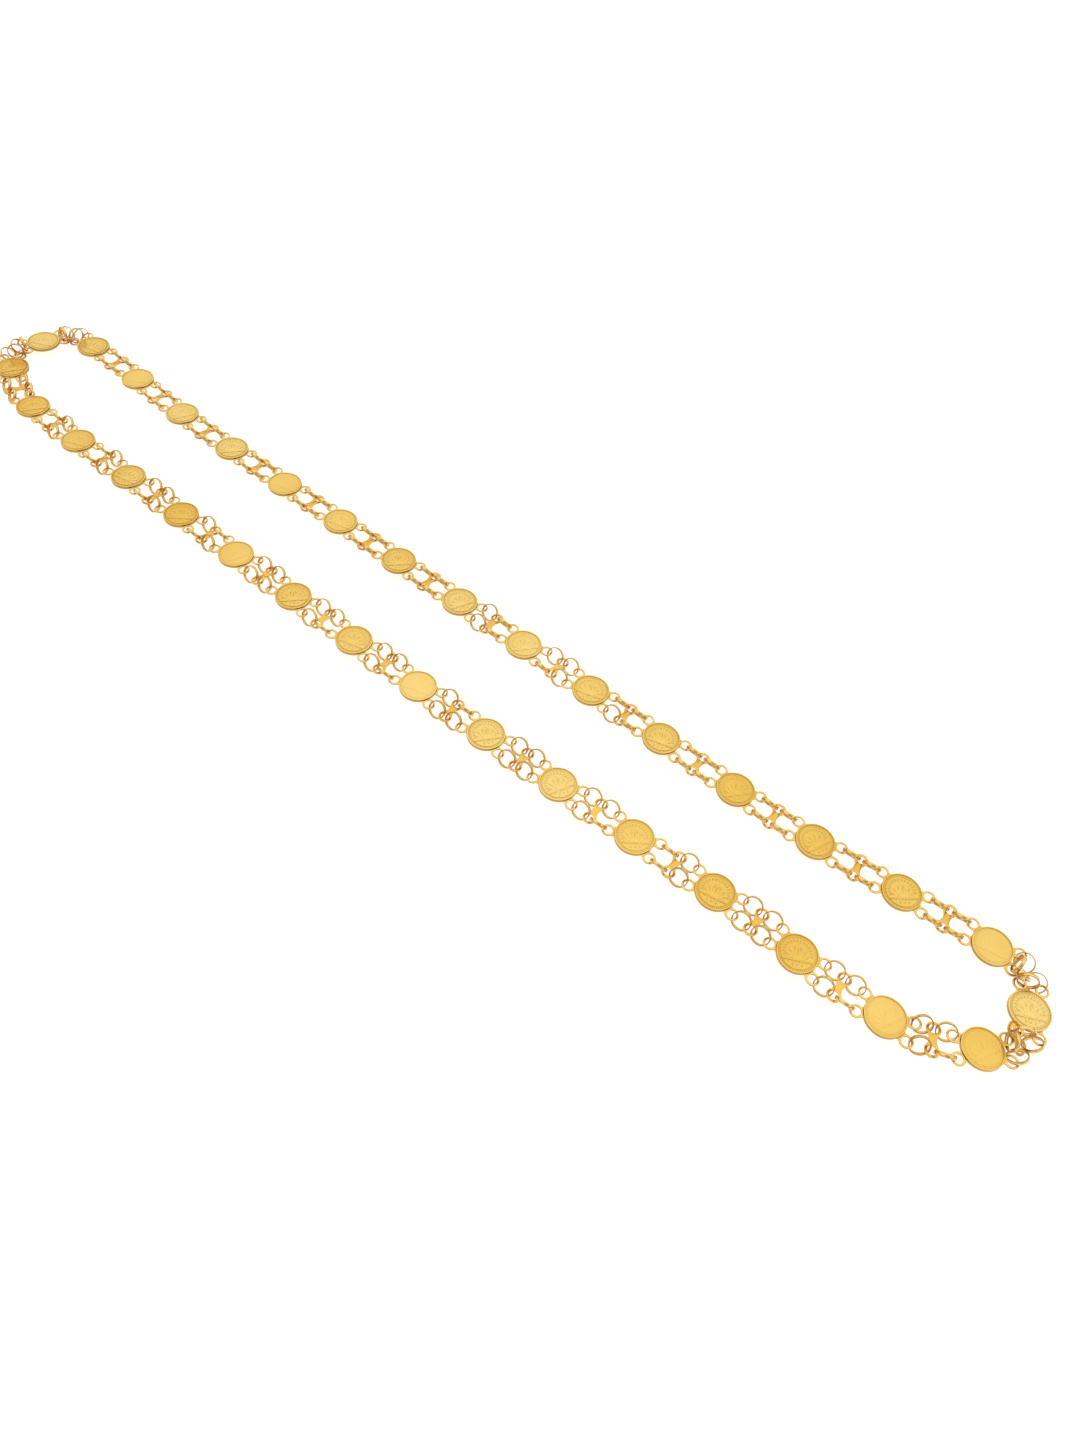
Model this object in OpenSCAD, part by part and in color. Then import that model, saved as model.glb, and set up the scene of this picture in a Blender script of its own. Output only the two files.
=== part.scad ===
// Coin necklace: small gold coins joined into one closed loop, which lies flat on a surface
// in a long narrow ring. Coins and figure-of-eight spacers take turns along the chain. Each
// coin has four ears soldered to its edge, and a flat jump ring joins each ear to the nearest
// eye of a spacer, so two rows of rings run along the chain and two rings share each eye.
// Sizes are in millimetres. The surface is z = 0, and +X runs along the loop.

/* [Coins] */
// Number of coins round the loop, which the lie below is set out for
coin_count = 33; // [33:1:33]
// Diameter of a coin
coin_d = 12; // [11.8:0.05:12.05]
// Thickness of a coin at its raised rim
coin_t = 1; // [0.9:0.05:1.05]
// Depth of the field below the rim, on each face
field_depth = 0.18; // [0.1:0.01:0.25]
// Width of the raised rim
rim_w = 0.5; // [0.3:0.05:0.6]
// Height of the lotus and its ground line above the field
relief_h = 0.14; // [0.05:0.01:0.16]
// Radius of the fine circle inside the rim, on each face
circle_r = 4.8; // [4.75:0.05:4.9]
// Width of the fine circle
circle_w = 0.15; // [0.1:0.05:0.2]
// Height of the fine circle above the field
circle_h = 0.1; // [0.05:0.01:0.16]

/* [Lotus on each coin] */
// Number of petals
petal_count = 7; // [3:2:9]
// Angle between one petal and the next
petal_step = 25; // [15:1:25]
// Length of the middle petal
petal_l = 5.4; // [4:0.1:6]
// How much shorter each petal is than the one nearer to the middle
petal_loss = 0.6; // [0:0.1:0.7]
// Width of a petal
petal_w = 1.5; // [1:0.1:1.8]
// Distance of the ground line below the coin's centre
ground_low = 2.2; // [1.8:0.1:2.4]
// Length of the ground line
ground_l = 8; // [6:0.2:8.2]
// Width of the ground line
ground_w = 0.35; // [0.2:0.05:0.6]
// Radius of the dots under the ground line
dot_r = 0.35; // [0.2:0.05:0.4]
// Distance between the dots, and nearly that from the line
dot_step = 1.3; // [1:0.1:1.4]

/* [Ears of the coins] */
// Distance of an ear's centre from the coin's centre, along the chain
ear_along = 7.2; // [7.18:0.01:7.2]
// Distance of an ear's centre from the chain's middle line
ear_side = 3.1; // [3.05:0.05:3.1]
// Outer radius of an ear
ear_r = 2; // [1.9:0.05:2]
// Radius of the hole in an ear
ear_hole_r = 1.36; // [1.35:0.01:1.4]
// Thickness of an ear
ear_t = 0.4; // [0.3:0.05:0.4]
// Width of the solder web between an ear and the coin
web_w = 2.8; // [2:0.1:3]

/* [Spacers] */
// Outer radius of each lobe of the figure of eight
lobe_r = 2.1; // [2.05:0.05:2.15]
// Radius of the eye in each lobe
eye_r = 1.32; // [1.32:0.01:1.36]
// Width of the waist between the lobes
waist_w = 2.2; // [1.4:0.1:2.2]
// Thickness of a spacer
spacer_t = 0.35; // [0.25:0.05:0.35]

/* [Jump rings] */
// Outer diameter of a jump ring
ring_d = 5.9; // [5.9:0.01:5.92]
// Thickness of the flat band
band_t = 0.3; // [0.25:0.05:0.3]
// Width of the flat band
band_w = 1.05; // [0.8:0.05:1.05]
// How far a ring leans over from upright, in degrees
ring_lean = 30; // [30:0.5:31]

/* [Lie] */
// Height of the coins' middle plane above the spacers' in the straight strands
coin_over_spacer = 0.3; // [0.2:0.05:0.3]
// Height of the coins' middle plane above the surface in the straight strands
coin_z = 2.67; // [2.67:0.01:2.75]
// Height of a spacer above its coins where the chain doubles back
tight_lift = 0.88; // [0.86:0.01:0.9]
// Tilt of such a spacer about the chain, inner lobe up, in degrees
tight_roll = 39.5; // [39.3:0.1:39.7]

/* [Hidden] */
round_fn = 48;
small_fn = 24;
upright_turn = 39;
turn_spread = 28;
turn_step = 77;
piece_count = 2 * coin_count;
ring_mid_r = (ring_d - band_t) / 2;

function two_digits(n) = str(n < 10 ? "0" : "", n);
function coin_name(n) = str("coin_", two_digits(n));

// How the chain lies, walked clockwise from the middle coin of the back strand. Even pieces
// are coins and odd pieces are spacers. A row is a stretch of joints from piece to piece:
// number of joints, mm from centre to centre, degrees turned at each joint, and 1 where the
// chain doubles back and its pieces bunch up. The turns come to one full circle.
JOINTS = 0;
SPACING = 1;
TURN = 2;
BUNCHED = 3;
route = [
    [8, 13.9, 0.1, 0],
    [4, 13.9, -1.8, 0],
    [2, 13.9, 2.6, 0],
    [4, 10.2, 36.0, 1],
    [2, 13.1, 16.0, 0],
    [2, 13.7, 5.3, 0],
    [2, 13.8, -3.6, 0],
    [12, 13.9, 0.2, 0],
    [8, 13.9, -0.1, 0],
    [2, 13.5, 1.8, 0],
    [2, 13.1, 16.0, 0],
    [4, 10.2, 36.0, 1],
    [2, 13.9, 2.9, 0],
    [4, 13.9, -1.3, 0],
    [8, 13.9, 0, 0]
];
start = [-0.24, 16.24];

// Rings that lean towards the outside of the loop, where the others lean inwards. A row is
// the spacer's number, then 1 for each such ring of its four: behind it on the outer side and
// on the inner side, and ahead of it on the outer side and on the inner side.
outward = [
    [1, 1, 1, 0, 0],
    [2, 1, 0, 1, 1],
    [3, 0, 1, 0, 0],
    [10, 1, 0, 0, 0],
    [11, 1, 0, 0, 0],
    [13, 0, 0, 1, 1],
    [14, 1, 0, 0, 0],
    [16, 0, 1, 0, 0],
    [17, 1, 0, 0, 0],
    [18, 1, 0, 0, 0],
    [20, 0, 1, 1, 0],
    [21, 0, 0, 1, 0],
    [22, 0, 0, 1, 1],
    [23, 0, 0, 1, 1]
];

// How the rings sit where the chain is straight: the distance between the two places where a
// ring's middle line crosses its ear and its eye, the part of the slack taken up in the eye,
// and the least crossing from the middle of an eye and greatest from the middle of an ear.
cross_to_cross = 5.55;
eye_share = 0.47;
eye_cross_min = 0.5;
ear_cross_max = 0.8;

// How the rings sit where the chain doubles back: lean towards the inner side in degrees, and
// how far the band crosses from the middle of the ear and of the eye.
LEAN = 0;
EAR_CROSS = 1;
EYE_CROSS = 2;
inner_ring = [-26, 0.49, 0.77];
outer_ring = [-51.6, -0.17, 0.63];

joints = [for (row = route) for (k = [1:row[JOINTS]]) row];
function joint(i) = joints[i % piece_count];
function half_turned(i, heading) = heading - joint(i)[TURN] / 2;

// Middle and heading of each piece, one joint after another. What the walk leaves open where
// it comes round to its start is shared out among the joints.
walk = [
    for (i = 0, x = start[0], y = start[1], heading = 0; i <= piece_count;
        x = x + joint(i)[SPACING] * cos(half_turned(i, heading)),
        y = y + joint(i)[SPACING] * sin(half_turned(i, heading)),
        heading = heading - joint(i)[TURN],
        i = i + 1)
        [x, y, heading]
];
left_open = walk[piece_count] - walk[0];

function wrapped(i) = (i + piece_count) % piece_count;
function is_coin(i) = i % 2 == 0;
function is_bunched(i) = joint(wrapped(i - 1))[BUNCHED] + joint(i)[BUNCHED] == 2;
function heading(i) = walk[i][2];
function roll(i) = !is_coin(i) && is_bunched(i) ? -tight_roll : 0;
function height(i) =
    is_coin(i) ? coin_z : is_bunched(i) ? coin_z + tight_lift : coin_z - coin_over_spacer;
function middle(i) = [
    walk[i][0] - left_open[0] * i / piece_count,
    walk[i][1] - left_open[1] * i / piece_count,
    height(i)
];

// A point given in a piece's own directions: along the chain, to its outer side, and up
function on_piece(i, p) =
    let (y = p[1] * cos(roll(i)) - p[2] * sin(roll(i)),
        z = p[1] * sin(roll(i)) + p[2] * cos(roll(i)),
        c = cos(heading(i)),
        s = sin(heading(i)))
    middle(i) + [p[0] * c - y * s, p[0] * s + y * c, z];

// Lean of a ring towards the inner side of the loop
function straight_lean(spacer, end, side) =
    let (column = (end < 0 ? 1 : 3) + (side < 0 ? 1 : 0),
        rows = [for (row = outward) if (row[0] == spacer && row[column] == 1) row])
    len(rows) > 0 ? -ring_lean : ring_lean;

function clamp(value, low, high) = max(low, min(high, value));

// Lean and the two crossings of the ring at one end (-1 behind, 1 ahead) and on one side
// (-1 inner, 1 outer) of the spacer that is piece i
function ring_fit(i, end, side, reach) =
    is_bunched(i) ? (side < 0 ? inner_ring : outer_ring) :
    let (eye = max(eye_cross_min, eye_share * (reach - cross_to_cross)),
        ear = reach - cross_to_cross - eye)
    [
        straight_lean((i + 1) / 2, end, side),
        clamp(ear, -ear_cross_max, ear_cross_max),
        eye
    ];

// Centre and axis of that ring. Its middle line crosses the ear at p and the eye at q.
function ring_place(i, end, side) =
    let (ear = on_piece(wrapped(i + end), [-end * ear_along, side * ear_side, 0]),
        eye = on_piece(i, [0, side * ear_side, 0]),
        flat = [eye[0] - ear[0], eye[1] - ear[1], 0],
        fit = ring_fit(i, end, side, norm(eye - ear)),
        p = ear + fit[EAR_CROSS] * flat / norm(flat),
        q = eye - fit[EYE_CROSS] * flat / norm(flat),
        chord = (q - p) / norm(q - p),
        up = ([0, 0, 1] - chord[2] * chord) / norm([0, 0, 1] - chord[2] * chord),
        lean = -end * fit[LEAN],
        out = cos(lean) * up + sin(lean) * cross(chord, up),
        rise = sqrt(pow(ring_mid_r, 2) - pow(norm(q - p) / 2, 2)))
    [(p + q) / 2 + rise * out, cross(chord, out)];

// The coin

// A petal that stands on the origin, between two arcs
module petal(length, width) {
    arc_r = (pow(length, 2) + pow(width, 2)) / (4 * width);
    intersection_for (side = [-1, 1])
        translate([side * (arc_r - width / 2), length / 2]) circle(arc_r, $fn = round_fn);
}

// An open lotus on a ground line, with three dots below the line
module lotus() {
    half_count = (petal_count - 1) / 2;
    translate([0, -ground_low]) {
        for (k = [-half_count:half_count])
            rotate(k * petal_step) petal(petal_l - abs(k) * petal_loss, petal_w);
        square([ground_l, ground_w], center = true);
        for (k = [-1:1]) translate([k * dot_step, -dot_step]) circle(dot_r, $fn = small_fn);
    }
}

// The lotus stands nearly upright to someone who looks at the loop from the lower right, but
// each coin is turned its own way
function motif_turn(n) = upright_turn + turn_spread * sin(turn_step * n);

module ear() {
    away = norm([ear_along, ear_side]);
    linear_extrude(ear_t, center = true) difference() {
        union() {
            translate([ear_along, ear_side]) circle(ear_r, $fn = round_fn);
            rotate(atan2(ear_side, ear_along))
                translate([away - ear_r, 0]) square([web_w / 2, web_w], center = true);
        }
        translate([ear_along, ear_side]) circle(ear_hole_r, $fn = round_fn);
    }
}

module coin_blank() {
    rim_r = coin_d / 2;
    rotate_extrude($fn = round_fn) {
        translate([0, field_depth - coin_t / 2]) square([rim_r - rim_w / 2, coin_t - 2 * field_depth]);
        translate([rim_r - rim_w, -coin_t / 2]) square([rim_w, coin_t]);
        translate([circle_r - circle_w / 2, field_depth - circle_h - coin_t / 2])
            square([circle_w, coin_t - 2 * field_depth + 2 * circle_h]);
    }
}

module coin(n) {
    i = 2 * (n - 1);
    color("#eec45c") translate(middle(i)) {
        rotate(heading(i)) {
            coin_blank();
            for (along = [0, 1], side = [0, 1])
                mirror([along, 0, 0]) mirror([0, side, 0]) ear();
        }
        translate([0, 0, coin_t / 2 - 2 * field_depth])
            rotate(motif_turn(n)) linear_extrude(field_depth + relief_h) lotus();
    }
}

// The spacer

// Radius of the arc that runs from lobe to lobe and leaves the waist between them
fillet_r = (pow(waist_w / 2, 2) + pow(ear_side, 2) - pow(lobe_r, 2)) / (2 * lobe_r - waist_w);

module spacer_outline() {
    fillet_x = waist_w / 2 + fillet_r;
    touch = lobe_r / (lobe_r + fillet_r);
    difference() {
        union() {
            for (side = [-1, 1]) translate([0, side * ear_side]) circle(lobe_r, $fn = round_fn);
            square([2 * fillet_x * touch, 2 * ear_side * (1 - touch)], center = true);
        }
        for (side = [-1, 1]) {
            translate([side * fillet_x, 0]) circle(fillet_r, $fn = round_fn);
            translate([0, side * ear_side]) circle(eye_r, $fn = round_fn);
        }
    }
}

module spacers() {
    color("#d9a441") for (i = [1:2:piece_count])
        translate(middle(i)) rotate([roll(i), 0, heading(i)])
            linear_extrude(spacer_t, center = true) spacer_outline();
}

// The jump rings

module jump_ring() {
    difference() {
        cylinder(h = band_w, d = ring_d, center = true, $fn = round_fn);
        cylinder(h = 2 * band_w, d = ring_d - 2 * band_t, center = true, $fn = round_fn);
    }
}

module jump_rings() {
    color("#e8b84a") for (i = [1:2:piece_count], end = [-1, 1], side = [-1, 1]) {
        place = ring_place(i, end, side);
        axis = place[1];
        translate(place[0]) rotate([0, acos(axis[2]), atan2(axis[1], axis[0])]) jump_ring();
    }
}

for (n = [1:coin_count]) coin(n);
spacers();
jump_rings();
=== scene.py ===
"""Coin necklace: struck gold coins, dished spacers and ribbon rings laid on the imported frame.

Each master piece is modelled once on the bench, in millimetres and at the origin. Copies of it
are then put where the frame's own solids are, in metres.
"""

from __future__ import annotations

import logging
import math
from collections.abc import Callable, Iterator
from contextlib import AbstractContextManager, contextmanager
from dataclasses import dataclass, field, replace
from enum import Enum

import bpy
import numpy as np
from mathutils import Matrix, Vector


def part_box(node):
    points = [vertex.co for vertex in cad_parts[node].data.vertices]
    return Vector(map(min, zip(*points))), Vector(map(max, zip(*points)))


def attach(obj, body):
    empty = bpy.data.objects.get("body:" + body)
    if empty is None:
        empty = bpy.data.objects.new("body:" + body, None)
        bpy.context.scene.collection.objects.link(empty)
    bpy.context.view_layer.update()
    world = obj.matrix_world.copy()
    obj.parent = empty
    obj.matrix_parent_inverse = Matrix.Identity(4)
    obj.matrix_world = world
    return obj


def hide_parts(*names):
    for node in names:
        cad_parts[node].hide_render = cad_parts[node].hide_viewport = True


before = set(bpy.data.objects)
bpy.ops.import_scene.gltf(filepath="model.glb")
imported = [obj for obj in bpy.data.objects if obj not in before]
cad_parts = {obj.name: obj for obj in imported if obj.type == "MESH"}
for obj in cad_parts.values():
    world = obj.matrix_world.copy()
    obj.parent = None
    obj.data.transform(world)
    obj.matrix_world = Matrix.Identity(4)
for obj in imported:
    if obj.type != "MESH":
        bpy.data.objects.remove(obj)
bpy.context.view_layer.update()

LOG = logging.getLogger("coin_necklace")
ROOT = "root"
MM = 0.001
WELD_MM = 0.0005
ROW_MM = 0.01
LINE_MM = 0.02

Colour = tuple[float, float, float]
Place = tuple[float, float, float]
Span = tuple[float, float]
Piece = bpy.types.Object
Socket = bpy.types.NodeSocket
Given = dict[str | int, Socket | Colour | Vector | float]

WHITE: Colour = (1.0, 1.0, 1.0)
UNMOVED = Matrix.Identity(4)


class Face(Enum):
    """The two faces of a coin."""

    FRONT = 1
    BACK = -1


class Tone(Enum):
    """How pale or how deep a coin's gold is beside its neighbours'."""

    PALE = "pale"
    USUAL = "usual"
    DEEP = "deep"


class Element(Enum):
    """What edit mode selects of a mesh."""

    POINTS = "vertices"
    FACES = "polygons"


# Bench work: small helpers round the modelling operators


def pick(*pieces: Piece) -> None:
    """Selects these pieces alone and makes the first of them active.

    Args:
        pieces: The objects to select.
    """
    bpy.ops.object.select_all(action="DESELECT")
    for piece in pieces:
        piece.select_set(True)
    bpy.context.view_layer.objects.active = pieces[0]


@contextmanager
def opened(piece: Piece, element: Element, chosen: list[bool]) -> Iterator[None]:
    """Opens one piece in edit mode with a selection of its points or faces.

    Args:
        piece: The object to edit.
        element: What is selected.
        chosen: Says of each of them whether it is selected.

    Yields:
        Nothing. The piece is closed again afterwards.
    """
    in_points = element is Element.POINTS
    bpy.context.tool_settings.mesh_select_mode = (in_points, False, not in_points)
    for name in ("vertices", "edges", "polygons"):
        listed = getattr(piece.data, name)
        listed.foreach_set("select", chosen if name == element.value else [False] * len(listed))
    pick(piece)
    bpy.ops.object.mode_set(mode="EDIT")
    yield
    bpy.ops.object.mode_set(mode="OBJECT")


def everywhere(*_: Vector) -> bool:
    """Wants every point or face."""
    return True


def in_row(axis: int, at: float) -> Callable[[Vector], bool]:
    """Wants the points of one row across an axis."""
    return lambda place: abs(place[axis] - at) < ROW_MM


def on_lines(
    axis: int, share: float, half_width: Callable[[float], float]
) -> Callable[[Vector], bool]:
    """Wants the points at a share of a strip's half width to either side of its axis."""
    return lambda place: abs(abs(place[1 - axis]) - share * half_width(place[axis])) < LINE_MM


def at_points(
    piece: Piece, wanted: Callable[[Vector], bool] = everywhere
) -> AbstractContextManager[None]:
    """Opens one piece in edit mode with the points selected whose place is wanted."""
    return opened(piece, Element.POINTS, [wanted(v.co) for v in piece.data.vertices])


def at_faces(
    piece: Piece, wanted: Callable[[Vector, Vector], bool] = everywhere
) -> AbstractContextManager[None]:
    """Opens one piece in edit mode with the faces selected whose centre and normal are wanted."""
    return opened(piece, Element.FACES, [wanted(p.center, p.normal) for p in piece.data.polygons])


def fresh(name: str) -> Piece:
    """Names the primitive that was just added and takes its place and size into its mesh.

    Args:
        name: The name to give it.

    Returns:
        The object.
    """
    piece = bpy.context.object
    piece.name = name
    pick(piece)
    bpy.ops.object.transform_apply(location=True, rotation=True, scale=True)
    return piece


def outward(piece: Piece) -> Piece:
    """Welds a closed mesh and turns its faces outward.

    Args:
        piece: The object whose mesh is mended.

    Returns:
        The same object.
    """
    with at_points(piece):
        bpy.ops.mesh.remove_doubles(threshold=WELD_MM)
        bpy.ops.mesh.normals_make_consistent(inside=False)
    return piece


def finish_with(piece: Piece, kind: str, **settings: object) -> Piece:
    """Adds a modifier to a piece and applies it.

    Args:
        piece: The object to work on.
        kind: The modifier's type.
        settings: The modifier's properties.

    Returns:
        The same object.
    """
    pick(piece)
    modifier = piece.modifiers.new(kind.lower(), kind)
    for name, value in settings.items():
        setattr(modifier, name, value)
    bpy.ops.object.modifier_apply(modifier=modifier.name)
    return piece


def smooth(piece: Piece, degrees: float) -> Piece:
    """Shades a piece smooth where its faces meet at less than an angle.

    Args:
        piece: The object to shade.
        degrees: The angle past which an edge stays sharp.

    Returns:
        The same object.
    """
    pick(piece)
    bpy.ops.object.shade_smooth_by_angle(angle=math.radians(degrees))
    return piece


def rounded(piece: Piece, width: float, segments: int = 2, from_degrees: float = 30.0) -> Piece:
    """Rounds the edges of a piece.

    Args:
        piece: The object to work on.
        width: The width of the rounding.
        segments: How many flats the rounding has.
        from_degrees: The angle from which an edge is rounded.

    Returns:
        The same object.
    """
    limit = math.radians(from_degrees)
    settings = {"segments": segments, "limit_method": "ANGLE", "angle_limit": limit}
    return finish_with(piece, "BEVEL", width=width, **settings)


def thickened(piece: Piece, thickness: float) -> Piece:
    """Gives a sheet its thickness, half of it to either side."""
    return finish_with(piece, "SOLIDIFY", thickness=thickness, offset=0.0)


def copy_of(master: Piece, placing: Matrix = UNMOVED) -> Piece:
    """Copies a master with a mesh of its own, put in place within the mesh.

    Args:
        master: The object to copy.
        placing: Where the copy goes, from the master's own place.

    Returns:
        The copy.
    """
    copy = bpy.data.objects.new(f"{master.name}_copy", master.data.copy())
    copy.data.transform(placing)
    bpy.context.scene.collection.objects.link(copy)
    return copy


def joined(name: str, parts: list[Piece]) -> Piece:
    """Joins objects into one.

    Args:
        name: The name of the joined piece.
        parts: The objects, which are used up.

    Returns:
        The joined object.
    """
    pick(*parts)
    bpy.ops.object.join()
    parts[0].name = name
    return parts[0]


def discard(*pieces: Piece) -> None:
    """Removes bench pieces that no longer stand for anything.

    Args:
        pieces: The objects to remove, with their meshes.
    """
    for piece in pieces:
        mesh = piece.data
        bpy.data.objects.remove(piece)
        bpy.data.meshes.remove(mesh)


def turned(degrees: float) -> Matrix:
    """A turn about the upright axis, in degrees."""
    return Matrix.Rotation(math.radians(degrees), 4, "Z")


def stretched(x: float, y: float, z: float) -> Matrix:
    """A different scale along each axis."""
    return Matrix.Diagonal((x, y, z, 1.0))


def moved(x: float, y: float, z: float = 0.0) -> Matrix:
    """A move in millimetres."""
    return Matrix.Translation((x, y, z))


# Where the frame's solids are


@dataclass(frozen=True)
class Seat:
    """The place of one solid of the frame.

    Attributes:
        centre: Its middle, in metres.
        along: Its longest direction.
        normal: Its thinnest direction, which never points down.
    """

    centre: Vector
    along: Vector
    normal: Vector

    def placing(self, spin_degrees: float = 0.0) -> Matrix:
        """Takes a bench piece in millimetres to this place in metres.

        Args:
            spin_degrees: A turn of the piece about its own upright axis.

        Returns:
            The placing: the piece's +Y goes along the solid and its +Z along the normal.
        """
        across = self.along.cross(self.normal)
        axes = Matrix((across, self.along, self.normal)).transposed().to_4x4()
        scale = Matrix.Scale(MM, 4)
        return Matrix.Translation(self.centre) @ axes @ turned(spin_degrees) @ scale

    @classmethod
    def of_points(cls, points: np.ndarray) -> Seat:
        """Measures the place of a solid from its points.

        Args:
            points: The solid's points, one row each.

        Returns:
            Its seat, with the middle taken between its extremes.
        """
        middle = points.mean(axis=0)
        _, _, axes = np.linalg.svd(points - middle, full_matrices=False)
        spread = (points - middle) @ axes.T
        middle = middle + ((spread.max(axis=0) + spread.min(axis=0)) / 2) @ axes
        normal = axes[2] if axes[2][2] >= 0 else -axes[2]
        return cls(Vector(middle), Vector(axes[0]), Vector(normal))


def points_of(piece: Piece) -> np.ndarray:
    """Reads the points of a mesh.

    Args:
        piece: The object to read.

    Returns:
        Its points, one row each, each place once.
    """
    points = np.empty(len(piece.data.vertices) * 3)
    piece.data.vertices.foreach_get("co", points)
    return np.unique(points.reshape(-1, 3).round(8), axis=0)


def loose_seats(node: str) -> list[Seat]:
    """Measures every loose solid of a node.

    Args:
        node: The name of the frame's node.

    Returns:
        A seat for each solid, from left to right and then from front to back.
    """
    whole = copy_of(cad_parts[node])
    with at_points(whole):
        bpy.ops.mesh.remove_doubles(threshold=WELD_MM * MM)
        bpy.ops.mesh.separate(type="LOOSE")
    solids = list(bpy.context.selected_objects)
    seats = [Seat.of_points(points_of(solid)) for solid in solids]
    discard(*solids)
    return sorted(seats, key=lambda seat: (round(seat.centre.x, 5), round(seat.centre.y, 5)))


# Finishes


class Nodes:
    """The nodes of one finish or of the sky."""

    def __init__(self, owner: bpy.types.Material | bpy.types.World) -> None:
        """Takes up the nodes that a new material or sky starts with."""
        owner.use_nodes = True
        self.tree = owner.node_tree

    def feed(self, name: str, given: Given) -> None:
        """Sets a node's inputs.

        Args:
            name: The node's name.
            given: For each input, its own value or the output that it is linked to.
        """
        for key, value in given.items():
            entry = self.tree.nodes[name].inputs[key]
            if isinstance(value, bpy.types.NodeSocket):
                self.tree.links.new(value, entry)
            else:
                entry.default_value = (*value, 1.0) if entry.type == "RGBA" else value

    def add(self, kind: str, output: str, given: Given | None = None, **options: object) -> Socket:
        """Adds a node.

        Args:
            kind: The node's type.
            output: The name of the output that is wanted.
            given: For each input, its own value or the output that it is linked to.
            options: The node's properties.

        Returns:
            The output.
        """
        node = self.tree.nodes.new(kind)
        for name, value in options.items():
            setattr(node, name, value)
        self.feed(node.name, given or {})
        return node.outputs[output]

    def millimetres(self, stretch: Place = (1.0, 1.0, 1.0)) -> Socket:
        """Gives object coordinates in millimetres.

        Args:
            stretch: A further scale along each axis.

        Returns:
            The coordinates.
        """
        given = {"Vector": self.add("ShaderNodeTexCoord", "Object")}
        given["Scale"] = [scale / MM for scale in stretch]
        return self.add("ShaderNodeMapping", "Vector", given)

    def noise(self, place: Socket, size_mm: float, detail: float) -> Socket:
        """Gives a noise with lumps of a size in millimetres and some finer octaves."""
        given = {"Vector": place, "Scale": 1.0 / size_mm, "Detail": detail}
        return self.add("ShaderNodeTexNoise", "Fac", given)

    def ranged(self, value: Socket, source: Span, target: Span, **options: object) -> Socket:
        """Maps a value from one range to another.

        Args:
            value: The value to map.
            source: The range it is read over.
            target: The range it is given.
            options: The node's properties.

        Returns:
            The mapped value.
        """
        given = {"Value": value, "From Min": source[0], "From Max": source[1]}
        given |= {"To Min": target[0], "To Max": target[1]}
        return self.add("ShaderNodeMapRange", "Result", given, **options)

    def mixed(self, share: Socket, first: Socket | Colour, second: Colour) -> Socket:
        """Mixes two colours, with a share of the second."""
        given = {"Factor": share, "A": first, "B": second}
        return self.add("ShaderNodeMix", "Result", given, data_type="RGBA")

    def open_share(self, reach_mm: float) -> Socket:
        """Gives how much of a surface's surroundings is open, within a reach in millimetres."""
        reach = {"Distance": reach_mm * MM}
        return self.add("ShaderNodeAmbientOcclusion", "AO", reach, samples=12)


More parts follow.
